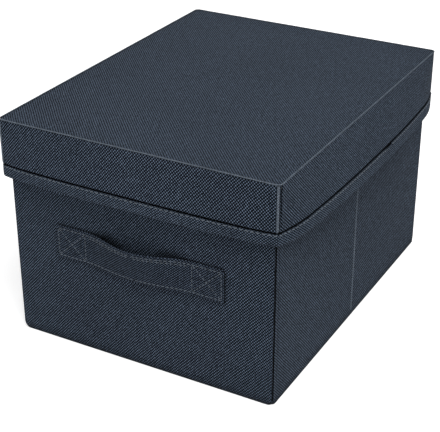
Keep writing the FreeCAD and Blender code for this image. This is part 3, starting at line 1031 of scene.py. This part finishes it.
def strap_stitching(shape, way):
    """Rows along both edges of the strap, and a box with a cross on its end."""
    inner, outer = STRAP_END + 1.6, STRAP_HALF - 1.8

    def row(x0, z0, x1, z1, count=12):
        path, normals = [], []
        for k in range(count + 1):
            x, z = x0 + (x1 - x0) * k / count, z0 + (z1 - z0) * k / count
            deep = strap_surface(x, z, True)
            slope = (strap_surface(x + 0.4, z, True) - strap_surface(max(x - 0.4, 0), z, True)) / 0.8
            path.append(Vector((way * x, -HALF_DEPTH - deep + 0.08, z)))
            normals.append(Vector((-way * slope, -1, 0)).normalized())
        stitches(shape, path, normals, *STRAP_STITCH)

    row(0.6, TOP_ROW, STRAP_HALF - 1.6, TOP_ROW, 40)
    row(0.6, SECOND_ROW, STRAP_END - 0.5, SECOND_ROW, 30)
    row(0.6, LOW_ROW, STRAP_HALF - 1.6, LOW_ROW, 40)
    row(outer, LOW_ROW, outer, TOP_ROW)
    row(inner, LOW_ROW, inner, TOP_ROW)
    row(inner, LOW_ROW, outer, TOP_ROW)
    row(inner, TOP_ROW, outer, LOW_ROW)


def strap_half(way):
    across = [STRAP_LOW + STRAP_WIDTH * k / 30 for k in range(31)]
    rows = []
    for x in (STRAP_HALF * k / 54 for k in range(55)):
        to_end = STRAP_HALF - x
        narrowed = 1 - 1.5 * rounding(to_end, 1.5) / (STRAP_WIDTH / 2)
        row = []
        for outward, run in ((True, across), (False, across[::-1])):
            for z in run:
                edge = 0.55 * rounding(min(z - STRAP_LOW, STRAP_HIGH - z), 0.7)
                edge += 0.35 * (1 - ease(to_end / 0.8))
                deep = strap_surface(x, z, outward)
                if outward:
                    deep -= edge + sum(0.13 * dent(z, at, 0.55) for at in (TOP_ROW, SECOND_ROW, LOW_ROW))
                else:
                    deep += edge if x < STRAP_END else 0.2 * edge
                height = STRAP_MIDDLE + (z - STRAP_MIDDLE) * narrowed
                row.append(Vector((way * x, -HALF_DEPTH - deep, height)))
        rows.append(row)
    shape = Shape().add(*tube(rows))
    strap_stitching(shape, way)
    return shape


def handles():
    for end, angle in (("front", 0), ("back", 180)):
        for side in ("left", "right"):
            half = piece(f"{end}_handle_strap_{side}", strap_half(WAY[side]).turn(angle), STRAP, THREAD)
            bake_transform(half)
            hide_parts(f"{end}_handle_end_{side}", f"{end}_handle_grip")


def boards():
    """Gives the solids that stay in view, the boards inside the cloth, their material."""
    for node in frame["nodes"].values():
        if not node.hide_render:
            for slot in node.material_slots:
                slot.material = BOARD


# The stage

def ground():
    corners = [(x * STAGE_HALF, y * STAGE_HALF, 0) for x, y in ((-1, -1), (1, -1), (1, 1), (-1, 1))]
    mesh = bpy.data.meshes.new("stage_floor")
    mesh.from_pydata(corners, [], [(0, 1, 2, 3)])
    made = bpy.data.objects.new("stage_floor", mesh)
    made.location.z = STAGE_HEIGHT
    bpy.context.scene.collection.objects.link(made)

    material = bpy.data.materials.new("stage_white")
    mesh.materials.append(material)
    nodes = Nodes(material)
    rays = nodes.new("ShaderNodeLightPath").outputs
    matte = nodes.new("ShaderNodeBsdfDiffuse", {"Color": (0.86, 0.86, 0.86, 1)}).outputs[0]
    glow = nodes.new("ShaderNodeEmission", {"Strength": 0.55}).outputs[0]
    both = nodes.new("ShaderNodeAddShader", {0: matte, 1: glow}).outputs[0]
    white = nodes.choose(rays["Is Camera Ray"], matte, both)
    # The floor is clear from below, and to light that reaches the face standing on it
    below = nodes.new("ShaderNodeNewGeometry").outputs["Backfacing"]
    touching = nodes.math("LESS_THAN", rays["Ray Length"], 0.0015)
    clear = nodes.new("ShaderNodeBsdfTransparent").outputs[0]
    nodes.show(nodes.choose(nodes.math("MAXIMUM", touching, below), white, clear))


def studio():
    world = bpy.data.worlds.new("studio")
    bpy.context.scene.world = world
    nodes = Nodes(world, "ShaderNodeOutputWorld")

    def white(strength):
        inputs = {"Color": (1, 1, 1, 1), "Strength": strength}
        return nodes.new("ShaderNodeBackground", inputs).outputs[0]

    rays = nodes.new("ShaderNodeLightPath").outputs
    seen = nodes.math("MAXIMUM", rays["Is Camera Ray"], rays["Is Glossy Ray"])
    nodes.show(nodes.choose(seen, white(0.5), white(1.0)))


def aim(made, place, direction):
    """Puts a lamp or camera in the scene, looking along a direction."""
    made.location = place
    made.rotation_mode = "QUATERNION"
    made.rotation_quaternion = direction.to_track_quat("-Z", "Y")
    bpy.context.scene.collection.objects.link(made)


def lamp(name, place, size, power):
    data = bpy.data.lights.new(name, "AREA")
    data.shape = "DISK"
    data.size = size
    data.energy = power
    aim(bpy.data.objects.new(name, data), place, Vector(LAMP_TARGET) - Vector(place))


def camera():
    data = bpy.data.cameras.new("camera")
    data.sensor_width = SENSOR_WIDTH
    data.lens = FOCAL_PIXELS / IMAGE_WIDTH * SENSOR_WIDTH
    data.clip_start, data.clip_end = 0.05, 40
    yaw, pitch = math.radians(CAMERA_YAW), math.radians(CAMERA_PITCH)
    forward = Vector((math.sin(yaw) * math.cos(pitch), math.cos(yaw) * math.cos(pitch), -math.sin(pitch)))
    made = bpy.data.objects.new("camera", data)
    aim(made, CAMERA_PLACE, forward)
    bpy.context.scene.camera = made
    bpy.context.scene.view_settings.view_transform = "Standard"


camera()
ground()
studio()
lamp("key", (0.9, -0.75, 1.85), 1.1, 26)
lamp("fill", (-0.8, -2.0, 0.75), 1.4, 4.5)
wall_pieces()
folds()
floor_pieces()
base_board()
lid_skirt()
lid_top()
lid_top_piping()
lid_corner_piping()
lid_hem()
lid_lining()
lid_ledge()
handles()
boards()
